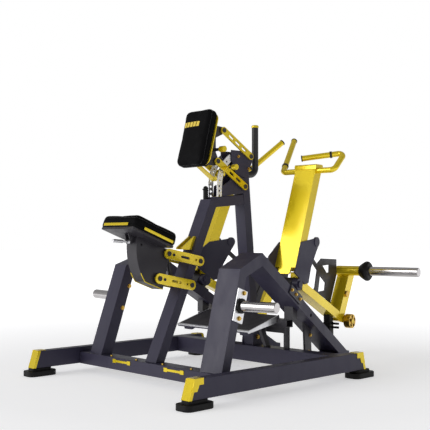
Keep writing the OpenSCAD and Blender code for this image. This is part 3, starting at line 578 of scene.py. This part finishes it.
def badge(tree, matrix, body, at, across, blocks=5, block=(0.018, 0.026), gap=0.005):
    """Row of plain sewn blocks on the pad's face, about a height and a side offset."""
    shape = bmesh.new()
    steps = 8
    pitch = block[0] + gap
    skin = 0.0007
    for k in range(blocks):
        y0 = across + (k - (blocks - 1) / 2) * pitch - block[0] / 2
        grid = []
        for i in range(steps + 1):
            row = []
            for j in range(steps + 1):
                x = at + (i / steps - 0.5) * block[1]
                y = y0 + j / steps * block[0]
                hit, normal, _, _ = tree.ray_cast(Vector((x, y, 0.05)), Vector((0, 0, -1)))
                row.append(shape.verts.new(hit + normal * skin))
            grid.append(row)
        for i in range(steps):
            for j in range(steps):
                shape.faces.new((grid[i][j], grid[i + 1][j], grid[i + 1][j + 1], grid[i][j + 1]))
    mesh = bpy.data.meshes.new("badge")
    shape.to_mesh(mesh)
    shape.free()
    made = new_object("chest_badge", mesh, "yellow_paint", BADGE)
    thick = made.modifiers.new("thick", "SOLIDIFY")
    thick.thickness = 0.0011
    thick.offset = -1.0
    finished(made)
    smooth(made, 50)
    put(made, matrix, body)


SEAT = tilted((64, 800), 20.4, 12)
CHEST = tilted((477.4, 1048), 14.9, 8, upright=True)
cushion("seat_cushion", "seat_pad", "seat", SEAT, 0.280, 0.280, thick=0.066)
chest_tree = cushion("chest_cushion", "chest_pad", "chest_support", CHEST, 0.308, 0.204)
badge(chest_tree, CHEST, "chest_support", at=0.218, across=0.016)


# ---------------------------------------------------------------- small hardware

BAR_FACE = 54.0  # outer face of a seat bar, from the middle of the machine
COVER_FACE = 37.5  # just outside the side of the seat's cover


def on_machine(x, y, z):
    """A place given in millimetres from the rails' rear top edge."""
    return Vector((x * MM - MID_X, y * MM, z * MM))


def socket_head(name, body, at, side, radius=7.0, height=4.0):
    """Dark cap screw with a hexagon socket, standing on the outer face of a bar."""
    shape = bmesh.new()
    rings = []
    for sides, r, lift in ((24, radius, 0.0), (24, radius, height - 1.0), (24, radius - 1.0, height),
                           (24, radius * 0.5, height), (24, radius * 0.45, height - 2.0)):
        rings.append([shape.verts.new(on_machine(
            at[0] + r * math.cos(math.tau * k / sides), side * (BAR_FACE + lift),
            at[1] + r * math.sin(math.tau * k / sides))) for k in range(sides)])
    for lower, upper in zip(rings, rings[1:]):
        for k in range(len(lower)):
            shape.faces.new((lower[k - 1], lower[k], upper[k], upper[k - 1]))
    shape.faces.new(rings[0])
    shape.faces.new(rings[-1])
    bmesh.ops.recalc_face_normals(shape, faces=shape.faces)
    mesh = bpy.data.meshes.new("screw")
    shape.to_mesh(mesh)
    shape.free()
    made = new_object(name, mesh, "dark_steel")
    smooth(made, 40)
    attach(made, body)


def edging(name, body, trail, side, radius=2.2):
    """Yellow bead along the lower edge of the seat's cover."""
    points = [on_machine(x, side * COVER_FACE, z) for x, z in trail]
    shape = bmesh.new()
    add_tube(shape, points, radius * MM, 8, False)
    bmesh.ops.recalc_face_normals(shape, faces=shape.faces)
    mesh = bpy.data.meshes.new("bead")
    shape.to_mesh(mesh)
    shape.free()
    made = new_object(name, mesh, "yellow_paint")
    smooth(made, 50)
    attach(made, body)


SEAT_BARS = {"upper": ((325, 617), (531, 578)), "lower": ((268, 500), (474, 461))}
SCREW_OFFSET = 31  # from a bar's pivot on the cover to the screw beside it
CURVE_AT, CURVE_RADIUS = (398.4, 642.4), 260  # the cover's curved front, in side view
COVER_EDGE = [(CURVE_AT[0] + CURVE_RADIUS * math.cos(math.radians(a)),
               CURVE_AT[1] + CURVE_RADIUS * math.sin(math.radians(a))) for a in range(206, 217, 2)]
COVER_EDGE += [(190.2, 486.7), (298, 447)]
for side, label in ((-1, "right"), (1, "left")):
    for level, (rear, front) in SEAT_BARS.items():
        start, stop = Vector(rear), Vector(front)
        along = (stop - start).normalized()
        socket_head(f"{label}_{level}_bar_screw", f"seat_{level}_bars", start + along * SCREW_OFFSET, side)
    edging(f"{label}_cover_edging", "seat", COVER_EDGE, side)


# ---------------------------------------------------------------- stage

def glowing(name, colour, near, far):
    """Pale matt surface with painted light: it glows from within, more so away from the middle, which
    leaves a painted shade on the floor around the machine.
    """
    shader = Shader(name, 0.8, Specular_IOR_Level=0.2)
    shader.colour(colour)
    shader.bsdf.inputs["Emission Color"].default_value = (1.0, 1.0, 1.0, 1.0)
    distance = shader.node("VectorMath", operation="LENGTH")
    shader.link(shader.space, distance.inputs[0])
    # painted light: the glow grows with distance from the middle, so the floor near the machine carries a
    # painted shade
    glow = shader.remap(distance.outputs["Value"], near, far, 1.2, 5.0)
    shader.link(glow, shader.bsdf.inputs["Emission Strength"])
    return shader.material


def floor():
    bpy.ops.mesh.primitive_plane_add(size=80.0)
    made = bpy.context.object
    made.name = "floor"
    made.data.materials.append(glowing("studio_floor", (0.80, 0.80, 0.82), 0.47, 0.85))


def soft_light(name, source, strength, spread):
    """Even light over the whole floor from one side, with wide soft shadows."""
    data = bpy.data.lights.new(name, "SUN")
    data.energy = strength
    data.angle = math.radians(spread)
    made = bpy.data.objects.new(name, data)
    bpy.context.scene.collection.objects.link(made)
    made.location = source
    made.rotation_mode = "QUATERNION"
    made.rotation_quaternion = (-Vector(source)).to_track_quat("-Z", "Y")


def sky(horizon, zenith):
    """White backdrop that lights the object from its sides more than from above."""
    world = bpy.data.worlds.new("studio")
    world.use_nodes = True
    tree = world.node_tree
    background = tree.nodes["Background"]
    background.inputs["Color"].default_value = (1.0, 1.0, 1.0, 1.0)

    def remap(source, low, high):
        made = tree.nodes.new("ShaderNodeMapRange")
        tree.links.new(source, made.inputs["Value"])
        for socket, value in (("To Min", low), ("To Max", high)):
            if isinstance(value, float):
                made.inputs[socket].default_value = value
            else:
                tree.links.new(value, made.inputs[socket])
        return made.outputs["Result"]

    direction = tree.nodes.new("ShaderNodeTexCoord").outputs["Generated"]
    split = tree.nodes.new("ShaderNodeSeparateXYZ")
    tree.links.new(direction, split.inputs["Vector"])
    lighting = remap(split.outputs["Z"], horizon, zenith)
    seen = tree.nodes.new("ShaderNodeLightPath").outputs["Is Camera Ray"]
    tree.links.new(remap(seen, lighting, 1.0), background.inputs["Strength"])
    bpy.context.scene.world = world


def camera():
    data = bpy.data.cameras.new("camera")
    data.sensor_width = 36.0
    data.lens = 68.65
    data.clip_end = 200.0
    made = bpy.data.objects.new("camera", data)
    bpy.context.scene.collection.objects.link(made)
    azimuth, pitch = math.radians(46.0), math.radians(1.7)
    flat = math.cos(pitch)
    look = Vector((math.cos(azimuth) * flat, math.sin(azimuth) * flat, math.sin(pitch)))
    made.location = (-2.9667, -3.0371, 0.6862)
    made.rotation_mode = "QUATERNION"
    made.rotation_quaternion = look.to_track_quat("-Z", "Y")
    bpy.context.scene.camera = made


floor()
sky(0.55, 0.08)
soft_light("key", (-4.0, 1.6, 1.6), 1.3, 40.0)
soft_light("overhead", (0.6, 0.3, 4.6), 0.25, 70.0)
camera()
bpy.context.scene.view_settings.view_transform = "Standard"

bpy.context.view_layer.update()
